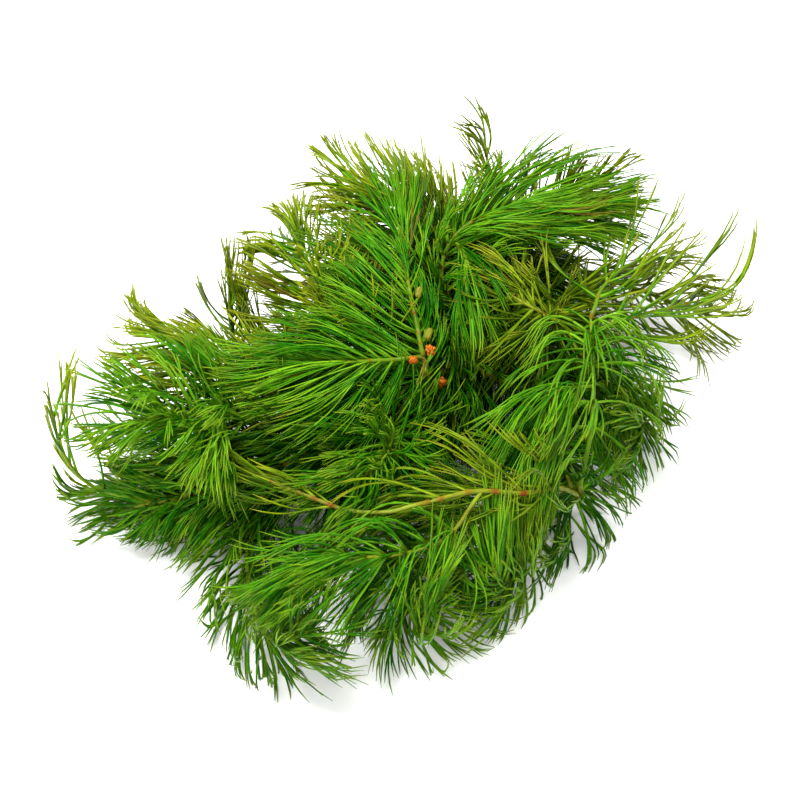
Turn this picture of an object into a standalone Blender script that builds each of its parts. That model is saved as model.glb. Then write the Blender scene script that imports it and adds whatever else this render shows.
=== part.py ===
"""One branched hornwort plant, lying as a loose mound on a flat surface.

A main stem runs along the middle of the mound, and side shoots fork from it at its nodes. Every shoot is
one closed solid: a tapering five-sided stem whose sides are drawn out, whorl by whorl, into forked
blades. A blade stands for the few needle leaves that lie together there, and reaches their tips. Each
blade is tried at small changes of angle and length until it clears everything grown before it, as soft
leaves give way to each other in the real mound.
"""
import math
import random
from collections import namedtuple

import bmesh
import bpy
from mathutils import Quaternion, Vector
from mathutils.bvhtree import BVHTree

MM = 0.001

# The mound: half its length, half its width and its height, and how square its plan is
HALF_LENGTH = 86 * MM
HALF_WIDTH = 61 * MM
HEIGHT = 51 * MM
PLAN_SQUARENESS = 4.6

# The stems: sides, how finely their lines are followed, the band that a whorl takes up, and the point at
# the end. A shoot's base narrows over a short length, so that it sits close to the stem it grows from
STEM_SIDES = 5
STEM_STEP = 1.0 * MM
CURVE_STEPS = 24
NODE_HEIGHT = 1.5 * MM
LONGEST_BAND = 9.0 * MM
SHORTEST_BAND = 0.3 * MM
TIP_POINT = 3.6 * MM
BASE_LENGTH = 1.2 * MM
BASE_NARROWING = 0.6
TIP_CROWDING = 1.25

# The blades of a whorl, in metres and degrees. Blades that lie on the surface turn flat to it
FORK_AT = 0.45
BLADE_WIDTH = 3.4 * MM
BLADE_THICKNESS = 1.1 * MM
PRONG_SPREAD = 0.12
PRONG_LENGTHS = (0.88, 1.0)
BLADE_LENGTHS = (0.90, 1.04)
FORWARD_BEND = (0.22, 0.34)
DROOP = 0.06
TURN_PLAY = 7
OPENING_PLAY = 5
FLAT_BELOW = 2.5 * MM
MOST_TWIST = 0.6
LEAST_OUTWARD = 0.25
PARTED_WITHIN = 50

# Finding room: the gap kept, the part of a blade's foot that may touch its own stem, and how far a
# crowded blade may turn, open and shorten before it is given up
CLEARANCE = 0.35 * MM
OWN_FOOT = 0.22
TRIES = 70
CROWDED_TURN = 26
CROWDED_OPENING = 18
CROWDED_SHORTENING = 0.5
SEED = 18

# Colours of young, grown and old shoots, of spent flowers and of buds
YOUNG_GREEN = (0.10, 0.30, 0.02)
GROWN_GREEN = (0.07, 0.21, 0.02)
OLD_OLIVE = (0.16, 0.20, 0.03)
SPENT_ORANGE = (0.60, 0.17, 0.02)
BUD_YELLOW = (0.38, 0.40, 0.07)

# A shoot grows from another one, at a share of that one's length, and follows its path in millimetres.
# It has whorls of blades, whose angle to the stem falls from the first to the last. The comb is the
# way that its leaves are swept, and bare is the share of the stem that has no leaves at its base. The
# parting is a side from which the leaves keep away and show the stem, and how far up the shoot they do.
Shoot = namedtuple("Shoot", "name grows_from at path whorls leaf opening comb bare parting radii colour")
OPEN_SIDE = (-0.51, -0.46, 0.73)

MAIN_STEM = Shoot(
    "main_stem", None, 0.0,
    [(73, 25, 7), (56, 17, 14), (36, 7, 19), (14, -1, 22), (-10, -3, 22), (-32, 5, 20), (-52, 17, 17),
     (-68, 28, 15)],
    7, 27, (80, 45), (0, 0, 0), 0.03, None, (1.3, 0.8), OLD_OLIVE)


def side_shoot(name, grows_from, at, path, whorls=4, leaf=25, opening=(65, 25), comb=(0, 0, 0), bare=0.2,
               parting=None, radii=(0.8, 0.45), colour=GROWN_GREEN):
    return Shoot(name, grows_from, at, path, whorls, leaf, opening, comb, bare, parting, radii, colour)


SLIM = (0.65, 0.4)

SIDE_SHOOTS = [
    # The upper shoots, from the middle outwards
    side_shoot("crown", "main_stem", 0.48,
               [(-1, -6, 34), (5, 3, 42), (12, 12, 45), (19, 20, 46), (26, 25, 46)],
               whorls=7, leaf=34, opening=(72, 20), comb=(-0.16, 0.2, 0.05), bare=0.14,
               parting=((0.03, -1.05, 0.73), 0.55), colour=YOUNG_GREEN),
    side_shoot("left_plume", "crown", 0.27, [(-9, -3, 42), (-18, 3, 44), (-25, 10, 43)],
               whorls=4, leaf=34, opening=(58, 16), bare=0.12, parting=(OPEN_SIDE, 0.4), colour=YOUNG_GREEN),
    side_shoot("right_plume", "main_stem", 0.36, [(25, 12, 36), (34, 14, 43), (46, 9, 45), (58, -1, 43)],
               whorls=5, leaf=35, opening=(58, 15), comb=(0.1, -0.05, 0.02), bare=0.3, colour=YOUNG_GREEN),
    side_shoot("drooping_shoot", "right_plume", 0.45, [(28, 7, 43), (22, 2, 41)],
               whorls=2, leaf=28, opening=(38, 15), comb=(-0.1, -0.1, -0.4), radii=SLIM, colour=YOUNG_GREEN),
    side_shoot("right_stem", "main_stem", 0.40, [(22, -18, 14), (15, -36, 11), (5, -49, 15), (1, -53, 26)],
               whorls=3, leaf=22, opening=(80, 60), bare=0.12, parting=(OPEN_SIDE, 1.0), colour=OLD_OLIVE),
    side_shoot("right_shoot", "right_stem", 0.97,
               [(9, -49, 34), (16, -44, 39), (25, -36, 42), (34, -28, 42)],
               whorls=4, leaf=29, opening=(75, 35), bare=0.36),
    side_shoot("right_fan", "right_shoot", 0.86, [(38, -36, 43), (47, -41, 43), (56, -45, 42)],
               whorls=3, leaf=32, opening=(58, 22), bare=0.15, radii=SLIM, colour=YOUNG_GREEN),
    side_shoot("upper_fan", "right_shoot", 0.97, [(42, -25, 43), (50, -25, 44), (57, -26, 43)],
               whorls=3, leaf=30, opening=(58, 22), bare=0.15, radii=SLIM, colour=YOUNG_GREEN),
    side_shoot("hanging_plume", "right_shoot", 0.52, [(8, -39, 43), (0, -41, 41), (-6, -43, 37)],
               whorls=3, leaf=30, opening=(40, 15), comb=(-0.1, -0.1, -0.25), bare=0.12, radii=SLIM,
               colour=YOUNG_GREEN),
    side_shoot("inner_shoot", "main_stem", 0.29, [(39, -6, 25), (34, -17, 33), (28, -16, 40), (26, -7, 42)],
               whorls=3, leaf=22, opening=(80, 40), bare=0.3, radii=SLIM, colour=OLD_OLIVE),
    side_shoot("front_stem", "right_stem", 0.92,
               [(-8, -53, 33), (-18, -51, 38), (-27, -44, 41), (-37, -38, 41)],
               whorls=3, leaf=27, opening=(50, 30), bare=0.2, radii=(0.8, 0.6), parting=(OPEN_SIDE, 1.0),
               colour=OLD_OLIVE),
    side_shoot("front_shoot", "front_stem", 0.98,
               [(-44, -32, 39), (-49, -24, 38), (-52, -14, 38), (-55, -2, 38)],
               leaf=27, opening=(50, 22), radii=SLIM, parting=(OPEN_SIDE, 1.0), colour=OLD_OLIVE),
    side_shoot("middle_shoot", "main_stem", 0.60, [(-20, -12, 32), (-30, -19, 37), (-42, -20, 38)],
               whorls=3, leaf=28, opening=(70, 22), bare=0.25),
    side_shoot("front_left_shoot", "front_stem", 0.72,
               [(-37, -44, 33), (-48, -39, 33), (-58, -31, 34), (-67, -24, 32)],
               leaf=28, opening=(55, 18), bare=0.3, colour=YOUNG_GREEN),
    side_shoot("left_shoot", "main_stem", 0.80, [(-50, 24, 32), (-58, 28, 39), (-66, 30, 40)],
               leaf=29, opening=(70, 20), bare=0.25, colour=YOUNG_GREEN),
    side_shoot("left_inner_shoot", "main_stem", 0.72, [(-40, 16, 32), (-46, 20, 37), (-56, 12, 39)],
               whorls=3, leaf=30, opening=(62, 20), bare=0.3, colour=YOUNG_GREEN),
    side_shoot("far_left_shoot", "main_stem", 0.97, [(-73, 37, 20), (-77, 45, 29), (-76, 48, 38)],
               whorls=3, leaf=25, opening=(50, 22), bare=0.15, radii=SLIM),
    side_shoot("back_left_shoot", "main_stem", 0.66, [(-28, 22, 28), (-34, 38, 34), (-38, 49, 37)]),
    side_shoot("back_shoot", "main_stem", 0.55, [(-5, 14, 28), (0, 30, 36), (6, 44, 40)]),
    side_shoot("back_right_shoot", "main_stem", 0.28, [(40, 22, 25), (38, 36, 34), (32, 48, 39)], bare=0.15),
    side_shoot("upright_shoot", "main_stem", 0.18, [(64, 16, 22), (71, 8, 32), (77, 2, 40)],
               whorls=3, leaf=22, opening=(55, 18), radii=SLIM, colour=OLD_OLIVE),
    side_shoot("end_shoot", "main_stem", 0.14, [(64, 28, 21), (70, 36, 30), (73, 40, 38)],
               whorls=3, leaf=22, opening=(60, 20), radii=SLIM, colour=OLD_OLIVE),
    # The lower shoots, which spread the mound on the surface and turn up at its edge
    side_shoot("low_right_shoot", "main_stem", 0.10,
               [(69, 8, 9), (75, -10, 9), (74, -30, 15), (67, -43, 26)], bare=0.12),
    side_shoot("low_back_right_shoot", "main_stem", 0.16, [(58, 30, 9), (46, 42, 7), (30, 46, 7)],
               whorls=3, bare=0.12),
    side_shoot("low_back_shoot", "main_stem", 0.50,
               [(0, 16, 11), (-9, 32, 9), (-14, 46, 18), (-12, 50, 32)]),
    side_shoot("low_left_shoot", "main_stem", 0.78,
               [(-54, 4, 10), (-65, -8, 8), (-73, -21, 11), (-72, -33, 21)], bare=0.12),
    side_shoot("low_back_left_shoot", "main_stem", 0.74, [(-44, 26, 10), (-58, 40, 7), (-71, 46, 7)],
               whorls=3, bare=0.12),
    side_shoot("low_front_left_shoot", "main_stem", 0.64,
               [(-28, -16, 10), (-41, -35, 8), (-50, -48, 15), (-51, -51, 27)], whorls=3, bare=0.12),
    side_shoot("low_front_shoot", "right_stem", 0.62,
               [(-4, -41, 8), (-17, -50, 10), (-28, -54, 17), (-32, -54, 27)], leaf=24, bare=0.12),
    side_shoot("low_front_right_shoot", "main_stem", 0.27,
               [(44, -10, 12), (43, -28, 10), (35, -45, 17), (24, -52, 28)], bare=0.12),
]

# A flower or bud sits in a leaf axil, on the side of the stem that it faces. Its size is across and long
Flower = namedtuple("Flower", "name grows_from at facing across long colour")

FLOWERS = [
    Flower("low_flower", "crown", 0.13, (-0.2, -0.8, 0.6), 3.2, 3.2, SPENT_ORANGE),
    Flower("middle_flower", "crown", 0.29, (0.2, -0.8, 0.5), 2.6, 2.8, SPENT_ORANGE),
    Flower("side_flower", "left_plume", 0.19, (-0.5, -0.6, 0.6), 2.4, 2.4, SPENT_ORANGE),
    Flower("low_bud", "crown", 0.36, (0.6, -0.6, 0.5), 2.2, 3.6, BUD_YELLOW),
    Flower("high_bud", "crown", 0.55, (0.6, -0.6, 0.5), 1.8, 3.2, BUD_YELLOW),
]
FLOWER_SEGMENTS = 6
FLOWER_RINGS = 4
FLOWER_LUMPS = 0.16


class Axis:
    """A smooth line through a shoot's points, in short steps, with a side direction carried along."""

    def __init__(self, points):
        ends = [points[0] * 2 - points[1]] + points + [points[-1] * 2 - points[-2]]
        dense = []
        for before, start, end, after in zip(ends, ends[1:], ends[2:], ends[3:]):
            for step in range(CURVE_STEPS):
                dense.append(catmull_rom(before, start, end, after, step / CURVE_STEPS))
        dense.append(points[-1])
        self.length = sum((b - a).length for a, b in zip(dense, dense[1:]))
        count = max(4, round(self.length / STEM_STEP))
        self.points = resample(dense, self.length / count, count)
        self.tangents = []
        for index in range(count + 1):
            ahead = self.points[min(index + 1, count)]
            behind = self.points[max(index - 1, 0)]
            self.tangents.append((ahead - behind).normalized())
        self.sides = [self.tangents[0].orthogonal().normalized()]
        for tangent in self.tangents[1:]:
            side = self.sides[-1]
            self.sides.append((side - tangent * side.dot(tangent)).normalized())

    def frame(self, distance):
        """The point, direction and side at a distance along the line."""
        place = min(max(distance / self.length, 0.0), 1.0) * (len(self.points) - 1)
        index = min(int(place), len(self.points) - 2)
        share = place - index
        point = self.points[index].lerp(self.points[index + 1], share)
        tangent = self.tangents[index].lerp(self.tangents[index + 1], share).normalized()
        side = self.sides[index].lerp(self.sides[index + 1], share)
        side = (side - tangent * side.dot(tangent)).normalized()
        return point, tangent, side


def catmull_rom(before, start, end, after, share):
    return 0.5 * (start * 2 + (end - before) * share
                  + (before * 2 - start * 5 + end * 4 - after) * share ** 2
                  + (start * 3 - before - end * 3 + after) * share ** 3)


def resample(dense, step, count):
    """Evenly spaced points along a dense line."""
    points = [dense[0].copy()]
    travelled = 0.0
    wanted = step
    for a, b in zip(dense, dense[1:]):
        gap = (b - a).length
        while len(points) < count and travelled + gap >= wanted:
            points.append(a.lerp(b, (wanted - travelled) / gap))
            wanted += step
        travelled += gap
    points.append(dense[-1].copy())
    return points


class Grown:
    """A shoot on its way: its axis, the rings of its stem, and the blades that found room."""

    def __init__(self, shoot, axis):
        self.shoot = shoot
        self.axis = axis
        self.blades = {}
        self.verts = []
        self.faces = []
        distances, self.whorl_bands = self.ring_distances()
        self.rings = [self.ring(distance) for distance in distances]
        self.rings.append([axis.points[-1]])
        self.add_body(*loft_body(self.rings))

    def ring_distances(self):
        """Where the stem's rings are along it, and which bands between them carry a whorl."""
        shoot, length = self.shoot, self.axis.length
        start = shoot.bare * length
        end = length - TIP_POINT
        distances = [0.0, BASE_LENGTH]
        whorl_bands = []
        for whorl in range(shoot.whorls):
            share = 1 - (1 - whorl / (shoot.whorls - 1)) ** TIP_CROWDING
            low = max(start + (end - start) * share - NODE_HEIGHT / 2, distances[-1] + SHORTEST_BAND)
            if low - distances[-1] > LONGEST_BAND:
                distances.append((distances[-1] + low) / 2)
            whorl_bands.append(len(distances))
            distances += [low, low + NODE_HEIGHT]
        return distances, whorl_bands

    def ring(self, distance):
        base, tip = self.shoot.radii
        radius = (base + (tip - base) * distance / self.axis.length) * MM
        if distance == 0.0:
            radius *= BASE_NARROWING
        point, tangent, side = self.axis.frame(distance)
        other = tangent.cross(side)
        corners = []
        for corner in range(STEM_SIDES):
            angle = 2 * math.pi * corner / STEM_SIDES
            corners.append(point + (side * math.cos(angle) + other * math.sin(angle)) * radius)
        return corners

    def add_body(self, verts, faces):
        offset = len(self.verts)
        self.verts += verts
        self.faces += [[index + offset for index in face] for face in faces]
        self.tree = BVHTree.FromPolygons(self.verts, self.faces)


def loft_body(rings):
    """The stem alone, as points and faces."""
    verts = [point for ring in rings for point in ring]
    faces = [list(range(STEM_SIDES - 1, -1, -1))]
    for band in range(len(rings) - 2):
        low = band * STEM_SIDES
        for corner in range(STEM_SIDES):
            after = (corner + 1) % STEM_SIDES
            faces.append([low + corner, low + after, low + STEM_SIDES + after, low + STEM_SIDES + corner])
    last = (len(rings) - 2) * STEM_SIDES
    for corner in range(STEM_SIDES):
        faces.append([last + corner, last + (corner + 1) % STEM_SIDES, last + STEM_SIDES])
    return verts, faces


Blade = namedtuple("Blade", "foot centre across through left_tip right_tip")


def fork_corners(blade, margin=0.0):
    """The blade's section at its fork, a flat rhombus: back, right edge, front and left edge."""
    wide = blade.across * (BLADE_WIDTH / 2 + margin)
    thick = blade.through * (BLADE_THICKNESS / 2 + margin)
    return [blade.centre - thick, blade.centre + wide, blade.centre + thick, blade.centre - wide]


def blade_body(blade, start, margin):
    """The blade from a share of its lower half onwards, swollen by a margin, as points and faces."""
    fork = fork_corners(blade, margin)
    foot = [low.lerp(high, start) for low, high in zip(blade.foot, fork)]
    tips = []
    for tip in (blade.right_tip, blade.left_tip):
        tips.append(tip + (tip - blade.centre).normalized() * margin * 2)
    faces = [[3, 2, 1, 0]]
    for corner in range(4):
        after = (corner + 1) % 4
        faces.append([corner, after, 4 + after, 4 + corner])
    faces += [[4, 5, 8], [5, 6, 8], [6, 4, 8], [6, 7, 9], [7, 4, 9], [4, 6, 9]]
    return foot + fork + tips, faces


def inside_mound(point):
    plan = abs(point.x / HALF_LENGTH) ** PLAN_SQUARENESS + abs(point.y / HALF_WIDTH) ** PLAN_SQUARENESS
    return plan <= 1.0 and point.z <= HEIGHT


def is_parted(shoot, out, share):
    """True on the side of a stem where its leaves part."""
    if not shoot.parting:
        return False
    towards, up_to = shoot.parting
    return share < up_to and out.angle(Vector(towards)) < math.radians(PARTED_WITHIN)


def try_blade(grown, band, corner, share, ease, rng):
    """One blade at a side of a whorl, with its angles and length loosened by ease, or None."""
    shoot = grown.shoot
    low, high = grown.rings[band], grown.rings[band + 1]
    after = (corner + 1) % STEM_SIDES
    foot = [low[corner], low[after], high[after], high[corner]]
    root = sum(foot, Vector()) / 4
    axis = (sum(high, Vector()) - sum(low, Vector())).normalized()
    out = root - sum(low + high, Vector()) / (2 * STEM_SIDES)
    out = (out - axis * out.dot(axis)).normalized()
    if is_parted(shoot, out, share):
        return None
    turn = math.radians(rng.uniform(-1, 1) * (TURN_PLAY + CROWDED_TURN * ease))
    turned = Quaternion(axis, turn) @ out
    first, last = shoot.opening
    play = rng.uniform(-1, 1) * (OPENING_PLAY + CROWDED_OPENING * ease)
    opening = math.radians(first + (last - first) * share + play)
    comb = Vector(shoot.comb)
    start = (axis * math.cos(opening) + turned * math.sin(opening) + comb / 2).normalized()
    if start.dot(out) < LEAST_OUTWARD:
        return None
    finish = (start.lerp(axis, rng.uniform(*FORWARD_BEND)) + comb + Vector((0, 0, -DROOP))).normalized()
    length = shoot.leaf * MM * (1 - CROWDED_SHORTENING * ease) * rng.uniform(*BLADE_LENGTHS)
    centre = root + start * length * FORK_AT
    tip = centre + finish * length * (1 - FORK_AT)
    centre.z = max(centre.z, BLADE_THICKNESS / 2)
    tip.z = max(tip.z, 0.0)
    across, through = blade_directions(axis, turned, (tip - root).normalized(), min(centre.z, tip.z))
    centre.z = max(centre.z, abs(across.z) * BLADE_WIDTH / 2, abs(through.z) * BLADE_THICKNESS / 2)
    spread = across * length * PRONG_SPREAD
    left_tip = centre.lerp(tip - spread, rng.uniform(*PRONG_LENGTHS))
    right_tip = centre.lerp(tip + spread, rng.uniform(*PRONG_LENGTHS))
    left_tip.z = max(left_tip.z, 0.0)
    right_tip.z = max(right_tip.z, 0.0)
    if not (inside_mound(left_tip) and inside_mound(right_tip) and inside_mound(centre)):
        return None
    return Blade(foot, centre, across, through, left_tip, right_tip)


def blade_directions(axis, out, way, height):
    """The directions across a blade's width and through it: round the stem, or flat on the surface."""
    across = axis.cross(out)
    level = way.cross(Vector((0, 0, 1))).normalized()
    if height < FLAT_BELOW and abs(level.dot(across)) > MOST_TWIST:
        across = level if level.dot(across) > 0 else -level
    across = (across - way * across.dot(way)).normalized()
    through = across.cross(way).normalized()
    if through.dot(axis) < 0:
        through = -through
    return across, through


def has_room(blade, grown, all_grown, flower_trees):
    """True when the blade clears every flower and other shoot, and its own from a little way out."""
    whole = BVHTree.FromPolygons(*blade_body(blade, 0.0, CLEARANCE))
    outer = BVHTree.FromPolygons(*blade_body(blade, OWN_FOOT, CLEARANCE))
    if outer.overlap(grown.tree) or any(whole.overlap(tree) for tree in flower_trees):
        return False
    return not any(whole.overlap(other.tree) for other in all_grown if other is not grown)


def grow_blades(grown, all_grown, flower_trees, rng):
    """Every whorl's blades, from the tip of the shoot down, with a few tries for each."""
    bands = grown.whorl_bands
    for order, band in reversed(list(enumerate(bands))):
        share = order / max(len(bands) - 1, 1)
        for corner in range(STEM_SIDES):
            for attempt in range(TRIES):
                blade = try_blade(grown, band, corner, share, attempt / TRIES, rng)
                if blade and has_room(blade, grown, all_grown, flower_trees):
                    grown.blades[band, corner] = blade
                    grown.add_body(*blade_body(blade, 0.0, 0.0))
                    break


def draw_out_blade(bm, face, blade):
    """Draw a side of the stem out to a blade, then split its end in two prongs that come to points."""
    end = bmesh.ops.extrude_discrete_faces(bm, faces=[face])["faces"][0]
    verts = list(end.verts)
    for vert, corner in zip(verts, fork_corners(blade)):
        vert.co = corner
    halves = [end, bmesh.utils.face_split(end, verts[0], verts[2])[0]]
    for half in halves:
        tip = blade.right_tip if verts[1] in half.verts else blade.left_tip
        bmesh.ops.poke(bm, faces=[half])["verts"][0].co = tip


def build_shoot(grown, material):
    """The stem from its rings, with every blade drawn out of it, as one closed object."""
    bm = bmesh.new()
    loops = [[bm.verts.new(point) for point in ring] for ring in grown.rings]
    bm.faces.new(reversed(loops[0]))
    sides = {}
    for band in range(len(loops) - 2):
        low, high = loops[band], loops[band + 1]
        for corner in range(STEM_SIDES):
            after = (corner + 1) % STEM_SIDES
            sides[band, corner] = bm.faces.new((low[corner], low[after], high[after], high[corner]))
    for corner in range(STEM_SIDES):
        bm.faces.new((loops[-2][corner], loops[-2][(corner + 1) % STEM_SIDES], loops[-1][0]))
    for place, blade in grown.blades.items():
        draw_out_blade(bm, sides[place], blade)
    bmesh.ops.triangulate(bm, faces=bm.faces)
    bmesh.ops.recalc_face_normals(bm, faces=bm.faces)
    return add_object(grown.shoot.name, bm, material)


def add_object(name, bm, material):
    mesh = bpy.data.meshes.new(name)
    bm.to_mesh(mesh)
    bm.free()
    mesh.materials.append(material)
    mesh.shade_smooth()
    mesh.set_sharp_from_angle(angle=math.radians(35))
    piece = bpy.data.objects.new(name, mesh)
    bpy.context.scene.collection.objects.link(piece)
    return piece


def plant_material(name, colour, roughness):
    material = bpy.data.materials.new(name)
    material.use_nodes = True
    shader = material.node_tree.nodes["Principled BSDF"]
    shader.inputs["Base Color"].default_value = (*colour, 1.0)
    shader.inputs["Roughness"].default_value = roughness
    shader.inputs["Metallic"].default_value = 0.0
    return material


def start_of(shoot, axes, radii):
    """Where a side shoot starts: on its parent's surface, a hair's breadth clear of it."""
    point, tangent, _ = axes[shoot.grows_from].frame(axes[shoot.grows_from].length * shoot.at)
    aim = Vector(shoot.path[0]) * MM - point
    way = aim.normalized()
    sine = max(way.cross(tangent).length, 0.3)
    base, tip = radii[shoot.grows_from]
    parent_radius = (base + (tip - base) * shoot.at) * MM
    gap = parent_radius + CLEARANCE + shoot.radii[0] * MM * 0.7
    return point + way * gap / sine


def build_flower(flower, axes, radii, rng):
    """A small lumpy egg, held a hair's breadth clear of its stem."""
    axis = axes[flower.grows_from]
    point, tangent, _ = axis.frame(axis.length * flower.at)
    facing = Vector(flower.facing)
    facing = (facing - tangent * facing.dot(tangent)).normalized()
    across, long = flower.across * MM / 2, flower.long * MM / 2
    reach = radii[flower.grows_from][0] * MM + CLEARANCE + across * (1 + FLOWER_LUMPS)
    bm = bmesh.new()
    bmesh.ops.create_uvsphere(bm, u_segments=FLOWER_SEGMENTS, v_segments=FLOWER_RINGS, radius=1.0)
    turn = tangent.to_track_quat("Z", "X")
    for vert in bm.verts:
        lump = 1 + rng.uniform(-FLOWER_LUMPS, FLOWER_LUMPS)
        sized = Vector((vert.co.x * across, vert.co.y * across, vert.co.z * long)) * lump
        vert.co = point + facing * reach + turn @ sized
    bmesh.ops.triangulate(bm, faces=bm.faces)
    return bm


def plan_stems():
    """The axis of every shoot, each starting on the one that it grows from, and their radii."""
    axes = {}
    radii = {}
    for shoot in [MAIN_STEM] + SIDE_SHOOTS:
        points = [Vector(point) * MM for point in shoot.path]
        if shoot.grows_from:
            points.insert(0, start_of(shoot, axes, radii))
        axes[shoot.name] = Axis(points)
        radii[shoot.name] = shoot.radii
    return axes, radii


def grow_plant(axes, flowers):
    """All stems first, then the blades of the upper shoots, the lower ones and the main stem."""
    all_grown = [Grown(shoot, axes[shoot.name]) for shoot in [MAIN_STEM] + SIDE_SHOOTS]
    flower_trees = [BVHTree.FromBMesh(bm) for bm in flowers.values()]
    rng = random.Random(SEED)
    for grown in all_grown[1:] + all_grown[:1]:
        grow_blades(grown, all_grown, flower_trees, rng)
    return all_grown


def main():
    for piece in list(bpy.data.objects):
        bpy.data.objects.remove(piece, do_unlink=True)
    axes, radii = plan_stems()
    rng = random.Random(SEED)
    flowers = {flower.name: build_flower(flower, axes, radii, rng) for flower in FLOWERS}
    for grown in grow_plant(axes, flowers):
        build_shoot(grown, plant_material(grown.shoot.name, grown.shoot.colour, 0.35))
    for flower in FLOWERS:
        add_object(flower.name, flowers[flower.name], plant_material(flower.name, flower.colour, 0.6))


main()
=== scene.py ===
import math

import bmesh
import bpy
import numpy as np
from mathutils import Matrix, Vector, noise


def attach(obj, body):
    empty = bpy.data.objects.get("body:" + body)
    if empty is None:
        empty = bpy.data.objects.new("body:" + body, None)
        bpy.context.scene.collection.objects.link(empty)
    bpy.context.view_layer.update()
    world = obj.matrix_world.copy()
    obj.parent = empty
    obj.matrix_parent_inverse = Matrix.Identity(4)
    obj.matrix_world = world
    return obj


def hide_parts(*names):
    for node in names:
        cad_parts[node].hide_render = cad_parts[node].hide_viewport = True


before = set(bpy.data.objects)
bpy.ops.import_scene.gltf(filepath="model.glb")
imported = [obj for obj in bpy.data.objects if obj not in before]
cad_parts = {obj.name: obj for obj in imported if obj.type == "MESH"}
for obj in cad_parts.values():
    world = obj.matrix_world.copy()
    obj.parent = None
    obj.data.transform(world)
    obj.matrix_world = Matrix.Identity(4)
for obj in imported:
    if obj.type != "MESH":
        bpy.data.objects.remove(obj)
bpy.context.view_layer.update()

# The stalks. Each is a round, brittle green stem, swollen and browned at the nodes where the leaves sit.
# The main stalk lies through the mound from its cut end, and the others fork from it or from each other.
MM = 0.001
TINY = 1e-12
MAP_NAME = "OFBake"
STALK_SIDES = 10
STALK_STEP = 0.6 * MM
FEWEST_STEPS = 4
CURVE_STEPS = 24

axes = {}
thickness = {}


def unit(vectors):
    return vectors / np.maximum(np.linalg.norm(vectors, axis=-1, keepdims=True), TINY)


class Axis:
    """The middle line of a stalk, in short steps, with a side direction carried along it."""

    def __init__(self, points):
        ends = np.vstack([2 * points[0] - points[1], points, 2 * points[-1] - points[-2]])
        share = np.arange(CURVE_STEPS)[:, None] / CURVE_STEPS
        dense = []
        for before, start, end, after in zip(ends, ends[1:], ends[2:], ends[3:]):
            dense.append(0.5 * (2 * start + (end - before) * share
                                + (2 * before - 5 * start + 4 * end - after) * share ** 2
                                + (3 * start - before - 3 * end + after) * share ** 3))
        dense = np.vstack(dense + [points[-1:]])
        travelled = np.concatenate([[0.0], np.cumsum(np.linalg.norm(np.diff(dense, axis=0), axis=1))])
        self.length = travelled[-1]
        steps = max(FEWEST_STEPS, round(self.length / STALK_STEP))
        self.distances = np.linspace(0.0, self.length, steps + 1)
        self.points = along(dense, travelled, self.distances)
        self.tangents = unit(np.gradient(self.points, axis=0))
        sides = [np.array(Vector(self.tangents[0]).orthogonal().normalized())]
        for tangent in self.tangents[1:]:
            sides.append(unit(sides[-1] - tangent * sides[-1].dot(tangent)))
        self.sides = np.array(sides)

    def stations(self, distances):
        """Points, directions and two side directions at distances along the line."""
        points = along(self.points, self.distances, distances)
        tangents = unit(along(self.tangents, self.distances, distances))
        sides = along(self.sides, self.distances, distances)
        sides = unit(sides - tangents * (sides * tangents).sum(-1, keepdims=True))
        return points, tangents, sides, np.cross(tangents, sides)


def along(rows, travelled, distances):
    return np.stack([np.interp(distances, travelled, rows[:, column]) for column in range(3)], axis=-1)


def tubes(points, radii, normals, sides):
    """Closed tubes round many lines at once. points is lines by steps by 3, and normals start each ring."""
    lines, steps, _ = points.shape
    tangents = unit(np.gradient(points, axis=1))
    first = unit(normals - tangents * (normals * tangents).sum(-1, keepdims=True))
    second = np.cross(tangents, first)
    angles = 2 * np.pi * np.arange(sides) / sides
    ring = (first[:, :, None] * np.cos(angles)[:, None] + second[:, :, None] * np.sin(angles)[:, None])
    verts = (points[:, :, None] + ring * radii[:, :, None, None]).reshape(-1, 3)
    line, step, side = np.meshgrid(np.arange(lines), np.arange(steps - 1), np.arange(sides), indexing="ij")
    low = (line * steps + step) * sides
    after = (side + 1) % sides
    quads = np.stack([low + side, low + after, low + sides + after, low + sides + side], -1).reshape(-1, 4)
    starts = np.arange(lines)[:, None] * steps * sides + np.arange(sides)[::-1]
    ends = (np.arange(lines)[:, None] * steps + steps - 1) * sides + np.arange(sides)
    return verts, quads, np.vstack([starts, ends])


def tube_map(shares, rows, row_height, sides):
    """Map corners for those tubes: across by the share along each line, up by its row and its side."""
    lines, steps = shares.shape
    up = rows[:, None] + row_height * np.arange(sides + 1) / sides
    low, high = shares[:, :-1, None], shares[:, 1:, None]
    across = np.stack([low, low, high, high], -1) * np.ones((1, 1, sides, 1))
    height = np.stack([up[:, :-1], up[:, 1:], up[:, 1:], up[:, :-1]], -1)[:, None]
    quads = np.stack([across, height * np.ones((1, steps - 1, 1, 1))], -1).reshape(-1, 2)
    caps = []
    for end in (0, -1):
        flat = np.stack([shares[:, end, None] * np.ones((1, sides)), up[:, :sides]], -1)
        caps.append(flat.reshape(-1, 2))
    return np.vstack([quads] + caps)


def add_mesh(name, verts, faces, corners, material):
    """A smooth-shaded object from points, faces and map corners."""
    mesh = bpy.data.meshes.new(name)
    mesh.from_pydata(verts, [], faces)
    mesh.uv_layers.new(name=MAP_NAME).data.foreach_set("uv", np.asarray(corners, np.float32).ravel())
    mesh.materials.append(material)
    mesh.shade_smooth()
    piece = bpy.data.objects.new(name, mesh)
    bpy.context.scene.collection.objects.link(piece)
    return piece


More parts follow.
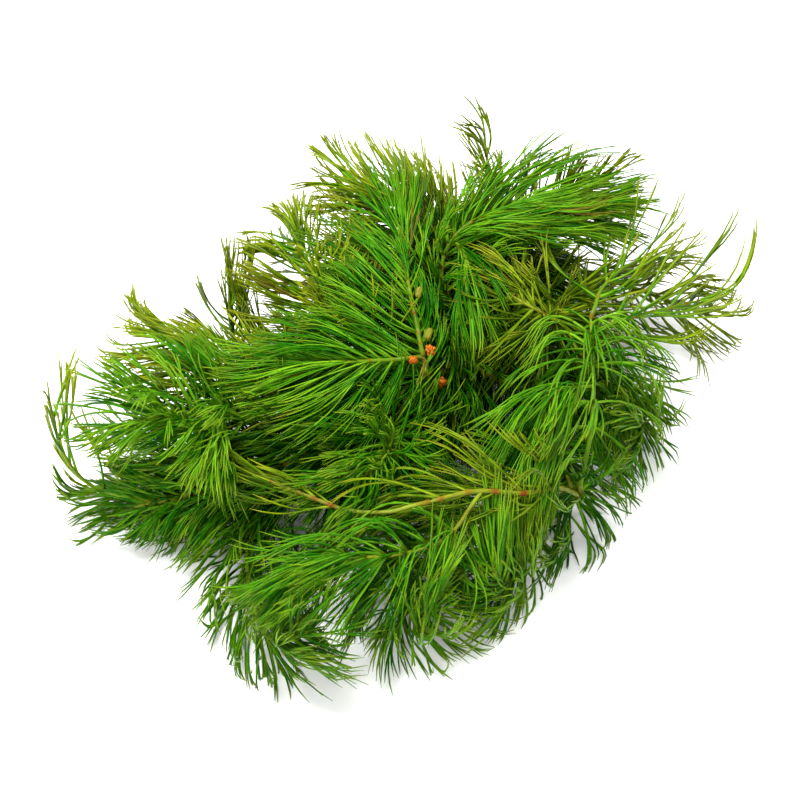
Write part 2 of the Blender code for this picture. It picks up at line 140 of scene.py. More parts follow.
# The wet skin, with the numbers of the mix node's colour sockets
MIX_FIRST = 6
MIX_SECOND = 7
MIX_RESULT = 2
EVEN = (1, 1, 1)
USUAL_DETAIL = 3.0
FINE_DETAIL = 2.0
NOISE_ROUGHNESS = 0.55
NOISE_LOW = 0.3
NOISE_HIGH = 0.7
WATER_IOR = 1.34
WATER_SHEEN = 0.08
WATER_ROUGHNESS = 0.12
STALK_COAT = 0.06
STALK_ROUGHNESS = (0.24, 0.44)
STALK_GRAIN_SCALE = 1900.0
STALK_GRAIN_STRENGTH = 0.25
STALK_GRAIN_DEPTH = 0.1 * MM
BLOTCH_SCALE = 260.0
PATCHES_FROM = 0.35
PATCHES_FULL = 0.65
NODE_BROWNING = (0.85, 1.7)


def node_at(tree, kind, **settings):
    made = tree.nodes.new(kind)
    for name, value in settings.items():
        setattr(made, name, value)
    return made


def ramp(tree, source, stops):
    """A colour ramp from (place, colour) stops, fed by source."""
    made = node_at(tree, "ShaderNodeValToRGB")
    elements = made.color_ramp.elements
    while len(elements) < len(stops):
        elements.new(0.5)
    for element, (place, colour) in zip(elements, stops):
        element.position = place
        element.color = (*colour, 1.0)
    tree.links.new(source, made.inputs["Fac"])
    return made.outputs["Color"]


def blend_colours(tree, share, first, second):
    """The second colour laid over the first by a share. Each colour may be a socket or a value."""
    made = node_at(tree, "ShaderNodeMix", data_type="RGBA")
    tree.links.new(share, made.inputs["Factor"])
    for place, colour in ((MIX_FIRST, first), (MIX_SECOND, second)):
        if isinstance(colour, bpy.types.NodeSocket):
            tree.links.new(colour, made.inputs[place])
        else:
            made.inputs[place].default_value = (*colour, 1.0)
    return made.outputs[MIX_RESULT]


def remap(tree, source, low, high, to_low, to_high):
    made = node_at(tree, "ShaderNodeMapRange")
    for name, value in (("From Min", low), ("From Max", high), ("To Min", to_low), ("To Max", to_high)):
        made.inputs[name].default_value = value
    tree.links.new(source, made.inputs["Value"])
    return made.outputs["Result"]


def multiply(tree, first, second):
    """The product of two sockets, held between 0 and 1."""
    made = node_at(tree, "ShaderNodeMath", operation="MULTIPLY", use_clamp=True)
    tree.links.new(first, made.inputs[0])
    tree.links.new(second, made.inputs[1])
    return made.outputs[0]


def speckle(tree, place, stretch, scale, detail=USUAL_DETAIL):
    """Noise over a place that is first stretched along its own axes."""
    stretched = node_at(tree, "ShaderNodeVectorMath", operation="MULTIPLY")
    stretched.inputs[1].default_value = stretch
    tree.links.new(place, stretched.inputs[0])
    made = node_at(tree, "ShaderNodeTexNoise")
    made.inputs["Scale"].default_value = scale
    made.inputs["Detail"].default_value = detail
    made.inputs["Roughness"].default_value = NOISE_ROUGHNESS
    tree.links.new(stretched.outputs[0], made.inputs["Vector"])
    return made.outputs["Fac"]


def wet_shader(name, coat=0.0):
    """A new material whose Principled shader has the thin film of water that lies on the whole plant."""
    material = bpy.data.materials.new(name)
    material.use_nodes = True
    shader = material.node_tree.nodes["Principled BSDF"]
    shader.inputs["IOR"].default_value = WATER_IOR
    shader.inputs["Specular IOR Level"].default_value = WATER_SHEEN
    shader.inputs["Coat Weight"].default_value = coat
    shader.inputs["Coat Roughness"].default_value = WATER_ROUGHNESS
    return material, material.node_tree, shader


def raise_surface(tree, shader, height, strength, distance):
    bump = node_at(tree, "ShaderNodeBump")
    bump.inputs["Strength"].default_value = strength
    bump.inputs["Distance"].default_value = distance
    tree.links.new(height, bump.inputs["Height"])
    tree.links.new(bump.outputs["Normal"], shader.inputs["Normal"])


def stalk_material(name, skin, mottle, node_colour):
    """Smooth skin mottled with a second colour, and browned where the mesh's own node mark says so."""
    material, tree, shader = wet_shader(name, STALK_COAT)
    place = node_at(tree, "ShaderNodeTexCoord").outputs["Object"]
    blotches = speckle(tree, place, EVEN, BLOTCH_SCALE)
    grain = speckle(tree, place, EVEN, STALK_GRAIN_SCALE, FINE_DETAIL)
    patches = ramp(tree, blotches, [(PATCHES_FROM, (0, 0, 0)), (PATCHES_FULL, (1, 1, 1))])
    colour = blend_colours(tree, patches, skin, mottle)
    mark = node_at(tree, "ShaderNodeAttribute", attribute_name="node_mark").outputs["Fac"]
    worn = multiply(tree, mark, remap(tree, blotches, NOISE_LOW, NOISE_HIGH, *NODE_BROWNING))
    colour = blend_colours(tree, worn, colour, node_colour)
    tree.links.new(colour, shader.inputs["Base Color"])
    roughness = remap(tree, grain, NOISE_LOW, NOISE_HIGH, *STALK_ROUGHNESS)
    tree.links.new(roughness, shader.inputs["Roughness"])
    raise_surface(tree, shader, grain, STALK_GRAIN_STRENGTH, STALK_GRAIN_DEPTH)
    return material


FRESH_STALK = stalk_material("fresh_stalk", (0.07, 0.155, 0.005), (0.055, 0.12, 0.004),
                             (0.14, 0.052, 0.004))
GREEN_STALK = stalk_material("green_stalk", (0.10, 0.20, 0.006), (0.07, 0.14, 0.005),
                             (0.14, 0.12, 0.008))
OLD_STALK = stalk_material("old_stalk", (0.14, 0.20, 0.009), (0.11, 0.11, 0.008),
                           (0.12, 0.032, 0.003))


# The room that the mound takes up
HALF_LENGTH = 86 * MM
HALF_WIDTH = 61 * MM
PLAN_SQUARENESS = 4.6
LEAST_PLAN = 1e-9
HIGHEST = 51.5 * MM
FLOOR_GAP = 0.35 * MM
EDGE_FROM = 0.84
EDGE_LIFT = 0.9
TOP_FROM = 44 * MM


def settle(points):
    """Leaves and stalks lie on the surface and bend up where the mound is held in at its edges."""
    reach = reach_of(points)
    kept = soft_limit(reach, EDGE_FROM, 1.0) / reach
    settled = points.copy()
    settled[..., :2] = points[..., :2] * kept[..., None]
    lifted = points[..., 2] + EDGE_LIFT * np.linalg.norm(points[..., :2], axis=-1) * (1 - kept)
    settled[..., 2] = np.maximum(soft_limit(lifted, TOP_FROM, HIGHEST), FLOOR_GAP)
    return settled


def reach_of(points):
    """How far out a point is in plan: 1 at the edge of the mound."""
    plan = np.abs(points[..., 0] / HALF_LENGTH) ** PLAN_SQUARENESS
    plan = plan + np.abs(points[..., 1] / HALF_WIDTH) ** PLAN_SQUARENESS
    return np.maximum(plan, LEAST_PLAN) ** (1 / PLAN_SQUARENESS)


def soft_limit(values, start, end):
    """Values as they are up to the start, then eased so that they come near the end and never pass it."""
    past = np.maximum(values - start, 0.0) / (end - start)
    return np.where(values > start, start + (end - start) * np.tanh(past), values)


# How the stalks fork, swell at their nodes and run out
CLEARANCE = 0.35 * MM
FOOT_ALLOWANCE = 0.7
FOOT_FLARE = 1.15
LEAST_SLANT = 0.3
LYING_GAP = 0.1 * MM
FIRST_WHORL = 0.6 * MM
LAST_WHORL = 0.5 * MM
NODE_SWELLING = 0.32
NODE_WEAR = (0.1, 1.0)
FOOT_WEAR = 0.5
POINT_LENGTH = 3.0 * MM
POINT_THINNEST = 0.08


def radius_at(radii, share):
    """A stalk's radius in metres at a share of its length, from its radii in millimetres."""
    base, tip = radii
    return (base + (tip - base) * share) * MM


def start_of(grows_from, at, first_point, radius):
    """Where a side stalk starts in the solid model: on its parent's surface, a hair's breadth clear."""
    parent = axes[grows_from]
    points, tangents, _, _ = parent.stations(np.array([parent.length * at]))
    way = unit(first_point - points[0])
    slant = max(np.linalg.norm(np.cross(way, tangents[0])), LEAST_SLANT)
    gap = radius_at(thickness[grows_from], at) + CLEARANCE + radius * MM * FOOT_ALLOWANCE
    return points[0], points[0] + way * gap / slant


def whorl_places(length, bare, wide, close):
    """Distances of the whorls along a stalk, closing up towards its growing tip."""
    places = [max(bare * length, FIRST_WHORL)]
    while places[-1] < length - LAST_WHORL:
        share = places[-1] / length
        places.append(places[-1] + (wide + (close - wide) * share) * MM)
    return np.array(places[:-1])


def build_stalk(name, axis, joint, radii, whorls, habit, material):
    """The stalk from inside its parent to its growing point, with a swelling at every whorl."""
    distances, points, sides = axis.distances, axis.points, axis.sides
    radius = radius_at(radii, distances / axis.length) * habit["slender"]
    apart = np.abs(distances[:, None] - whorls[None])
    swollen = np.exp(-(apart.min(1) / (habit["node"] * MM)) ** 2)
    wear = np.random.default_rng(len(distances)).uniform(*NODE_WEAR, len(whorls))[apart.argmin(1)]
    radius = radius * (1 + NODE_SWELLING * swollen)
    radius = radius * np.clip((axis.length - distances) / POINT_LENGTH, POINT_THINNEST, 1.0) ** 0.5
    if joint is not None:
        distances = np.concatenate([[0.0], distances])
        points = np.vstack([joint, points])
        sides = np.vstack([sides[:1], sides])
        radius = np.concatenate([[radius[0] * FOOT_FLARE], radius])
        swollen = np.concatenate([[1.0], swollen])
        wear = np.concatenate([[FOOT_WEAR], wear])
    points = settle(points)
    points[:, 2] = np.maximum(points[:, 2], radius + LYING_GAP)
    verts, quads, caps = tubes(points[None], radius[None], sides[None], STALK_SIDES)
    corners = tube_map((distances / axis.length)[None], np.zeros(1), 1.0, STALK_SIDES)
    piece = add_mesh(name + "_stalk", verts, quads.tolist() + caps.tolist(), corners, material)
    mark = piece.data.attributes.new("node_mark", "FLOAT", "POINT")
    mark.data.foreach_set("value", np.repeat(swollen * wear, STALK_SIDES).astype(np.float32))
    return piece


# The leaves. Each is a soft green needle that forks and forks again, smooth and wet, paler at its foot and
# olive at its tips. They grow in whorls round the nodes, closer and more forward towards a shoot's tip.
ALIVE_FROM = 0.06
DEAD_LEAF = (0.16, 0.09, 0.015)
MOTTLE_STRETCH = (2.6, 60, 1)
DEEP_MOTTLE = (0.35, 0.7, 0.0, 0.55)
LIGHT_MOTTLE = (0.5, 0.3, 0.0, 0.5)
FOOT_FADE = (0.02, 0.22, 1.0, 0.0)
TIPS_FROM = 0.74
ENDS_SHOWN_OUT_OF_SHADE = (0.1, 0.6, 0.15, 0.9)
LEAF_ROUGHNESS = (0.24, 0.4)
LEAF_GRAIN_STRETCH = (10, 900, 1)
LEAF_GRAIN_STRENGTH = 0.2
LEAF_GRAIN_DEPTH = 0.05 * MM


def leaf_material(name, deep, middle, light, foot, tip, tips_from=TIPS_FROM):
    """Green from deep to light by the leaf's freshness with its painted shade, which the map's height
    holds, with paler feet and olive tips.
    """
    material, tree, shader = wet_shader(name)
    place = node_at(tree, "ShaderNodeUVMap", uv_map=MAP_NAME).outputs["UV"]
    parts = node_at(tree, "ShaderNodeSeparateXYZ")
    tree.links.new(place, parts.inputs[0])
    share, freshness_and_shade = parts.outputs["X"], parts.outputs["Y"]
    colour = ramp(tree, freshness_and_shade, [(0.0, DEAD_LEAF), (ALIVE_FROM, deep), (0.5, middle), (1.0, light)])
    mottled = speckle(tree, place, MOTTLE_STRETCH, 1.0)
    colour = blend_colours(tree, remap(tree, mottled, *DEEP_MOTTLE), colour, deep)
    colour = blend_colours(tree, remap(tree, mottled, *LIGHT_MOTTLE), colour, light)
    # The paler feet and olive tips show less on darker leaves, so the painted shade hides them too
    for end, fade in ((foot, FOOT_FADE), (tip, (tips_from, 1.0, 0.0, 1.0))):
        shown = multiply(tree, remap(tree, share, *fade), remap(tree, freshness_and_shade, *ENDS_SHOWN_OUT_OF_SHADE))
        colour = blend_colours(tree, shown, colour, end)
    grain = speckle(tree, place, LEAF_GRAIN_STRETCH, 1.0, FINE_DETAIL)
    tree.links.new(colour, shader.inputs["Base Color"])
    roughness = remap(tree, mottled, NOISE_LOW, NOISE_HIGH, *LEAF_ROUGHNESS)
    tree.links.new(roughness, shader.inputs["Roughness"])
    raise_surface(tree, shader, grain, LEAF_GRAIN_STRENGTH, LEAF_GRAIN_DEPTH)
    return material


YOUNG_LEAF = leaf_material("young_leaf", (0.004, 0.050, 0.0002), (0.016, 0.125, 0.0003),
                           (0.116, 0.27, 0.008), (0.11, 0.25, 0.007), (0.13, 0.18, 0.006))
OUTER_LEAF = leaf_material("outer_leaf", (0.006, 0.050, 0.0002), (0.022, 0.125, 0.0003),
                           (0.125, 0.27, 0.008), (0.11, 0.25, 0.007), (0.19, 0.20, 0.006), tips_from=0.25)
GROWN_LEAF = leaf_material("grown_leaf", (0.004, 0.045, 0.0002), (0.016, 0.118, 0.0003),
                           (0.116, 0.255, 0.008), (0.11, 0.235, 0.007), (0.12, 0.16, 0.006))
OLD_LEAF = leaf_material("old_leaf", (0.025, 0.070, 0.0006), (0.075, 0.130, 0.0015),
                         (0.19, 0.25, 0.007), (0.20, 0.28, 0.010), (0.14, 0.12, 0.007))


# How a needle forks, at shares of its length
FORK_AT = (0.18, 0.36)
LATER_FORK_AT = (0.42, 0.62)
FORK_OVERLAP = 0.03
FORK_SPREAD = (0.05, 0.13)
LATER_FORK_SPREAD = (0.03, 0.06)
OPENING_POWER = 1.35
BRANCH_ENDS = (0.88, 1.0)
LAST_BRANCH_ENDS = (0.84, 0.98)
BRANCH_RISE = -0.5
LAST_BRANCH_RISE = 1.0
ROLL = 0.7


def needle_line(root, centre, tip, shares):
    """Points of each leaf's middle line at shares of its length."""
    t = shares[:, :, None]
    return (1 - t) ** 2 * root[:, None] + 2 * t * (1 - t) * centre[:, None] + t ** 2 * tip[:, None]


def shares_between(start, end, steps):
    return start[:, None] + (end - start)[:, None] * np.linspace(0.0, 1.0, steps)


def opened(shares, fork):
    """How far a branch has parted from the middle line by then, after its fork."""
    past = np.clip((shares - fork[:, None]) / (1 - fork[:, None]), 0.0, None)
    return past ** OPENING_POWER


# How leaves keep inside the mound
MOST_REACH = 1.08
MOST_RISE = 4 * MM
TRIES = 14
TURN_PER_TRY = 0.5
OPENING_PER_TRY = 0.25
SHORTER_PER_TRY = 0.07
THIN_FROM = 0.86
EDGE_THINNING = 0.7


def outside_mound(points):
    return (reach_of(points) > MOST_REACH) | (points[:, 2] > HIGHEST + MOST_RISE)


# How wet leaves lie with their neighbours
LEAVES_IN_LOCK = 5
LOCK_REACH = 14 * MM
LOCK_HOLD = 1.6
CENTRE_CLING = 0.6
DRIFT_SEED = 41
DRIFT_POWER = 1.6
BROAD_WAVES = 7
BROAD_LENGTHS = (26, 55)
BROAD_SWEEP = 0.055
FINE_WAVES = 5
FINE_LENGTHS = (14, 22)
FINE_SWEEP = 0.022

drift_rng = np.random.default_rng(DRIFT_SEED)
wave_lengths = np.vstack([drift_rng.uniform(*BROAD_LENGTHS, (BROAD_WAVES, 1)),
                          drift_rng.uniform(*FINE_LENGTHS, (FINE_WAVES, 1))]) * MM
wave_heights = np.repeat([BROAD_SWEEP, FINE_SWEEP], [BROAD_WAVES, FINE_WAVES])[:, None] * wave_lengths
DRIFT_WAVES = unit(drift_rng.normal(size=(len(wave_lengths), 3))) * 2 * np.pi / wave_lengths
DRIFT_PUSHES = unit(drift_rng.normal(size=(len(wave_lengths), 3))) * wave_heights
DRIFT_PHASES = drift_rng.uniform(0, 2 * np.pi, len(wave_lengths))


def drift(points, share):
    """Wet leaves lean together: those near each other are swept the same way, most at their tips."""
    swept = np.sin(points @ DRIFT_WAVES.T + DRIFT_PHASES) @ DRIFT_PUSHES
    return points + swept * share[..., None] ** DRIFT_POWER


def gather_locks(roots, centres, tips, follow, cling):
    """Wet leaves lie side by side: each takes the way of the nearest leader of a lock, and leans to it."""
    leaders = np.arange(0, len(tips), LEAVES_IN_LOCK)
    apart = np.linalg.norm(tips[:, None] - tips[leaders][None], axis=-1)
    apart += np.linalg.norm(centres[:, None] - centres[leaders][None], axis=-1)
    own = leaders[apart.argmin(1)]
    near = np.clip(LOCK_HOLD - apart.min(1) / LOCK_REACH, 0.0, 1.0)[:, None]
    size = np.linalg.norm(tips - roots, axis=1) / np.linalg.norm(tips[own] - roots[own], axis=1)
    for_centres = roots + (centres[own] - roots[own]) * size[:, None] - centres
    for_tips = roots + (tips[own] - roots[own]) * size[:, None] - tips
    centres = centres + for_centres * follow * near
    tips = tips + for_tips * follow * near
    centres = centres + (centres[own] - centres) * cling * near * CENTRE_CLING
    return centres, tips + (tips[own] - tips) * cling * near


# How leaves stand on their shoot
LENGTH_RANGE = (0.72, 1.08)
TIP_SHORTENING = 0.3
TIP_SHORTENING_POWER = 4
ANGLE_JITTER = 0.14
OPENING_JITTER = 8
PLACE_JITTER = 0.12 * MM
ROOT_DEPTH = 0.6
CENTRE_AT = 0.45
BOW = 0.05
DROOP = 0.2
STRAY_SHARE = 0.12
STRAY_LOOSENESS = 0.26
USUAL_LOOSENESS = 0.07
SHORT_LEAF = 0.45
SHORT_UP_TO = 0.62
SIDE_SHARPNESS = 3


def part_leaves(angles, sides, others, share, towards, gap, up_to):
    """Angles of the leaves round the stalk, moved off the side where they part and leave it bare."""
    towards = unit(np.array(towards, float))
    middle = np.arctan2(others @ towards, sides @ towards)
    off = (angles - middle + np.pi) % (2 * np.pi) - np.pi
    gap = math.radians(gap) * (share < up_to)
    return middle + np.sign(off) * (gap + np.abs(off) * (1 - gap / np.pi))


def outwards(angles, sides, others):
    return sides * np.cos(angles)[:, None] + others * np.sin(angles)[:, None]


def aim_leaves(axis, radii, whorls, habit, rng):
    """Where each leaf of a shoot starts, bends and ends. One that would leave the mound is turned and
    shortened a little at each try."""
    count, unrest = habit["count"], habit["unrest"]
    places = np.repeat(whorls, count)
    share = np.clip((places / axis.length - habit["bare"]) / (1 - habit["bare"]), 0.0, 1.0)
    kept = rng.random(len(places)) > habit["thinning"] * share ** 2
    angles = np.repeat(rng.uniform(0, 2 * np.pi, len(whorls)), count)
    angles = (angles + np.tile(np.arange(count), len(whorls)) * 2 * np.pi / count)[kept]
    places, share, amount = places[kept], share[kept], kept.sum()
    angles = angles + rng.normal(0, ANGLE_JITTER * unrest, amount)
    points, tangents, sides, others = axis.stations(places + rng.normal(0, PLACE_JITTER, amount))
    if habit["parting"]:
        angles = part_leaves(angles, sides, others, share, *habit["parting"])
    first, last = habit["opening"]
    opening = first + (last - first) * share
    opened_by = np.radians(opening + rng.normal(0, OPENING_JITTER * unrest, amount))
    length = habit["leaf"] * MM * rng.uniform(*LENGTH_RANGE, amount)
    length = length * (1 - TIP_SHORTENING * share ** TIP_SHORTENING_POWER)
    if habit["short_side"]:
        facing = outwards(angles, sides, others) @ unit(np.array(habit["short_side"]))
        facing = np.clip(facing * SIDE_SHARPNESS, 0.0, 1.0) * (share < SHORT_UP_TO)
        length = length * (1 - (1 - SHORT_LEAF) * facing)
    bend = rng.uniform(*habit["bend"], amount)[:, None]
    stray = rng.random(amount) < STRAY_SHARE
    loose = np.where(stray, STRAY_LOOSENESS, USUAL_LOOSENESS * unrest)[:, None]
    sway = rng.normal(0, 1, (amount, 3)) * loose + np.array((0, 0, -DROOP)) + np.array(habit["curl"])
    bow = rng.normal(0, BOW * unrest, (amount, 3))
    comb = np.array(habit["comb"])
    root_reach = (radius_at(radii, places / axis.length) * ROOT_DEPTH)[:, None]
    for ease in np.linspace(0.0, 1.0, TRIES):
        outs = outwards(angles, sides, others)
        roots = points + outs * root_reach
        start = unit(tangents * np.cos(opened_by)[:, None] + outs * np.sin(opened_by)[:, None] + comb / 2)
        finish = unit(start * (1 - bend) + tangents * bend + comb + sway)
        centres = roots + (start * CENTRE_AT + bow) * length[:, None]
        tips = centres + finish * (length * (1 - CENTRE_AT))[:, None]
        bad = outside_mound(tips)
        if not bad.any():
            break
        angles = angles + bad * rng.normal(0, TURN_PER_TRY + ease, amount)
        opened_by = opened_by + bad * rng.normal(0, OPENING_PER_TRY * ease, amount)
        length = length * (1 - bad * SHORTER_PER_TRY)
    centres, tips = gather_locks(roots, centres, tips, habit["follow"], habit["cling"])
    crowded = np.clip((reach_of(tips) - THIN_FROM) / (MOST_REACH - THIN_FROM), 0.0, 1.0)
    kept = rng.random(amount) > EDGE_THINNING * crowded
    return [rows[kept] for rows in (roots, centres, tips, outs, length)]


# How fresh the leaves look, and the shade painted into them low in the mound and below their stalks, eased
# where they reach the lit edge
FRESHEST = 0.96
FRESHNESS_SPREAD = 0.18
DEAD_SHARE = 0.006
SHADED_BELOW = 45 * MM
SHADE_DEPTH = 20 * MM
SHADE = 0.37
SHADE_BELOW_STALK = 0.3
BELOW_STALK_FROM = 0.1
LIT_EDGE = 0.34


def freshness_and_painted_shade(usual, centres, tips, outs, rng):
    """Each leaf's freshness with shade painted in: less low in the mound and below its stalk, unless it
    reaches the lit edge.
    """
    # Painted shade: leaves low in the mound and below their stalk are made darker, except near the lit edge
    painted_shade = SHADE * np.clip((SHADED_BELOW - centres[:, 2]) / SHADE_DEPTH, 0.0, 1.0)
    painted_shade = painted_shade + SHADE_BELOW_STALK * np.clip(BELOW_STALK_FROM - outs[:, 2], 0.0, 1.0)
    freshness_after_shade = usual - painted_shade * np.clip((1.0 - reach_of(tips)) / LIT_EDGE, 0.0, 1.0)
    freshness_after_shade = np.clip(freshness_after_shade + rng.normal(0, FRESHNESS_SPREAD, len(freshness_after_shade)), ALIVE_FROM, FRESHEST)
    freshness_after_shade[rng.random(len(freshness_after_shade)) < DEAD_SHARE] = 0.0
    return freshness_after_shade


# A needle's make, and the height of its row in the map
NEEDLE_SIDES = 3
NEEDLE_STEPS = 9
BRANCH_STEPS = 6
LAST_BRANCH_STEPS = 5
NEEDLE_RADIUS = 0.25 * MM
NEEDLE_TIP = 0.07 * MM
FOOT_SWELL = 1.4
NEEDLE_TAPER = 0.74
TAPER_POWER = 0.6
GIRTH_RANGE = (0.86, 1.14)
ROW_HEIGHT = 0.012


def build_leaves(name, axis, radii, whorls, habit, freshness_and_shade, material, rng):
    """Every leaf of a shoot as one mesh of fine forked needles."""
    roots, centres, tips, outs, length = aim_leaves(axis, radii, whorls, habit, rng)
    amount = len(roots)
    way = unit(tips - roots)
    roll = rng.normal(0, ROLL, amount)[:, None]
    across = unit(np.cross(way, outs))
    across = across * np.cos(roll) + np.cross(across, way) * np.sin(roll)
    raised = unit(np.cross(across, way))
    fork = rng.uniform(*FORK_AT, amount)
    later_forks = [rng.uniform(*LATER_FORK_AT, amount) for _ in range(2)]
    spread = (length * rng.uniform(*FORK_SPREAD, amount))[:, None, None]
    later_spread = (length * rng.uniform(*LATER_FORK_SPREAD, amount))[:, None, None]
    freshness_after_shade = freshness_and_painted_shade(freshness_and_shade, centres, tips, outs, rng)
    size = rng.uniform(*GIRTH_RANGE, amount) * habit["girth"]
    lines = {NEEDLE_STEPS: [], BRANCH_STEPS: [], LAST_BRANCH_STEPS: []}
    for sign, later in zip((1, -1), later_forks):
        # One branch runs the leaf's whole length, the other starts at its fork, and each forks once more
        if sign > 0:
            branch = (np.zeros(amount), np.ones(amount), BRANCH_RISE, NEEDLE_STEPS)
        else:
            ends = rng.uniform(*BRANCH_ENDS, amount)
            branch = (fork - FORK_OVERLAP, ends, BRANCH_RISE, BRANCH_STEPS)
        ends = rng.uniform(*LAST_BRANCH_ENDS, amount)
        last_branch = (later - FORK_OVERLAP, ends, LAST_BRANCH_RISE, LAST_BRANCH_STEPS)
        for begin, end, rise, steps in (branch, last_branch):
            shares = shares_between(begin, end, steps)
            line = needle_line(roots, centres, tips, shares)
            line = line + across[:, None] * spread * sign * opened(shares, fork)[:, :, None]
            line = line + raised[:, None] * later_spread * rise * sign * opened(shares, later)[:, :, None]
            lines[steps].append((drift(line, shares), shares))
    return join_needles(name, lines, across, size, freshness_after_shade, material)


def join_needles(name, lines, across, size, freshness_after_shade, material):
    """One mesh of tapering tubes round the lines, whose map holds each leaf's freshness with its painted
    shade.
    """
    verts, faces, corners, offset = [], [], [], 0
    for steps, group in lines.items():
        line = settle(np.vstack([line for line, _ in group]))
        shares = np.vstack([shares for _, shares in group])
        copies = len(group)
        taper = FOOT_SWELL - NEEDLE_TAPER * shares ** TAPER_POWER
        radius = NEEDLE_RADIUS * np.tile(size, copies)[:, None] * taper
        radius[:, -1] = NEEDLE_TIP
        normals = np.tile(across, (copies, 1))[:, None] * np.ones((1, steps, 1))
        points, quads, caps = tubes(line, radius, normals, NEEDLE_SIDES)
        verts.append(points)
        faces += (quads + offset).tolist() + (caps + offset).tolist()
        corners.append(tube_map(shares, np.tile(freshness_after_shade, copies), ROW_HEIGHT, NEEDLE_SIDES))
        offset += len(points)
    return add_mesh(name + "_leaves", np.vstack(verts), faces, np.vstack(corners), material)


# How a shoot carries its leaves unless it says otherwise, with lengths in millimetres and angles in degrees
USUAL_HABIT = {
    "leaf": 26,            # how long they are
    "opening": (68, 28),   # their angle to the stalk, at its foot and at its tip
    "bend": (0.3, 0.7),    # how much they bend forward, at least and at most
    "comb": (0, 0, 0),     # the way they are all swept
    "curl": (0, 0, 0),     # the way their ends curl
    "follow": 0.55,        # how far each takes the way of the leader of its lock
    "cling": 0.15,         # how far each leans to that leader
    "unrest": 1.0,         # how unevenly they stand
    "count": 10,           # how many a whorl has
    "thinning": 0.35,      # the share of them that is missing at the shoot's tip
    "girth": 1.2,          # how thick they are
    "bare": 0.2,           # the share of the stalk below its first whorl
    "slender": 0.78,       # how thick the stalk is against the solid's
    "node": 0.45,          # how long its swollen nodes are
    "short_side": None,    # a side on which the leaves stay short
    "parting": None,       # a side where they part: its direction, half its angle, and up to what share
}

# What a shoot is like: the finishes of its stalk and of its leaves, its material slot and its freshness,
# raised on some shoots for painted light and lowered on others for painted shade
LIKE_GROWN = (GREEN_STALK, GROWN_LEAF, "grown_shoot", 0.74)


def grow_shoot(name, grows_from, at, path, radii=(0.8, 0.45), kind=LIKE_GROWN, gaps=(3.6, 1.8),
               **own_habit):
    """One shoot: its stalk and its leaves stand for the CAD node of that name and ride on the plant.
    It forks at a share of its parent's length. Its radii and the gaps between its whorls, at its foot and
    at its tip, are in millimetres."""
    habit = USUAL_HABIT | own_habit
    stalk_finish, leaf_finish, slot, freshness_and_shade = kind
    points = np.array(path, float) * MM
    joint = None
    if grows_from:
        joint, start = start_of(grows_from, at, points[0], radii[0])
        points = np.vstack([start, points])
    axis = Axis(points)
    axes[name] = axis
    thickness[name] = radii
    rng = np.random.default_rng(len(axes))
    whorls = whorl_places(axis.length, habit["bare"], *gaps)
    stalk = build_stalk(name, axis, joint, radii, whorls, habit, stalk_finish)
    leaves = build_leaves(name, axis, radii, whorls, habit, freshness_and_shade, leaf_finish, rng)
    for piece in (stalk, leaves):
        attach(piece, "root")
        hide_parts(name)


# The main stem, the oldest part of the plant: an olive to yellow-brown stalk, cut at its right end, that
# lies through the middle of the mound and is thickly set with leaves painted dark green for the shade
# there.
# Its low freshness paints shade into the leaves of the main stem and of the right stem
LIKE_OLD_SHADED = (OLD_STALK, GROWN_LEAF, "old_shoot", 0.55)

grow_shoot("main_stem", None, 0.0,
           [(73, 25, 7), (56, 17, 14), (36, 7, 19), (14, -1, 22), (-10, -3, 22), (-32, 5, 20),
            (-52, 17, 17), (-68, 28, 15)],
           leaf=27, opening=(80, 45), bare=0.03, radii=(1.3, 0.8), kind=LIKE_OLD_SHADED, gaps=(3.2, 2.8),
           count=20)

# The crown, which stands up in the middle and leans to the back: a long fresh shoot whose leaves fan out
# like a feather, with a plume to its left, a long swept plume to its right and a drooping side shoot.
LIKE_VIVID = (FRESH_STALK, YOUNG_LEAF, "young_shoot", 0.6)
LIKE_YOUNG = (FRESH_STALK, YOUNG_LEAF, "young_shoot", 0.73)
SLIM = (0.65, 0.4)
# The side of the mound from which it was looked at, where the leaves of some shoots lie parted
OPEN_SIDE = (-0.51, -0.46, 0.73)

grow_shoot("crown", "main_stem", 0.48,
           [(-1, -6, 34), (5, 3, 42), (12, 12, 45), (19, 20, 46), (26, 25, 46)],
           leaf=33, opening=(72, 22), comb=(-0.16, 0.2, 0.05), bend=(0.35, 0.65), bare=0.14,
           short_side=(0.67, -0.74, 0.1), parting=((0.03, -1.05, 0.73), 70, 0.55), kind=LIKE_VIVID,
           gaps=(3.0, 1.7), unrest=0.5, count=13, girth=0.95, node=0.65)
grow_shoot("left_plume", "crown", 0.27, [(-9, -3, 42), (-18, 3, 44), (-25, 10, 43)],
           leaf=35, opening=(58, 16), bend=(0.4, 0.7), curl=(0.05, 0, 0.05), bare=0.1,
           parting=(OPEN_SIDE, 40, 0.35), kind=LIKE_VIVID, unrest=0.5, count=13, girth=0.95)
grow_shoot("right_plume", "main_stem", 0.36, [(25, 12, 36), (34, 14, 43), (46, 9, 45), (58, -1, 43)],
           leaf=36, opening=(64, 24), bend=(0.4, 0.65), comb=(0.08, 0.0, 0.04), curl=(0.2, -0.3, -0.1),
           bare=0.2, short_side=(-0.94, 0.5, -0.34), kind=LIKE_YOUNG, unrest=0.6, count=15, girth=1.0)
grow_shoot("drooping_shoot", "right_plume", 0.45, [(28, 7, 43), (22, 2, 41)],
           leaf=29, opening=(24, 10), comb=(-0.1, -0.1, -0.4), cling=0.4, girth=1.0, radii=SLIM,
           kind=LIKE_VIVID, count=10)

# The right shoots. An old stem comes up at the front and carries a leafy shoot over the right side, which
# ends in two spreading fans and lets a bright plume hang down. Three thin olive shoots that fork from the
# main stem stand beside it.
LIKE_YOUNG_OUTER = (FRESH_STALK, OUTER_LEAF, "young_shoot", 0.78)
LIKE_OLD = (OLD_STALK, OLD_LEAF, "old_shoot", 0.64)

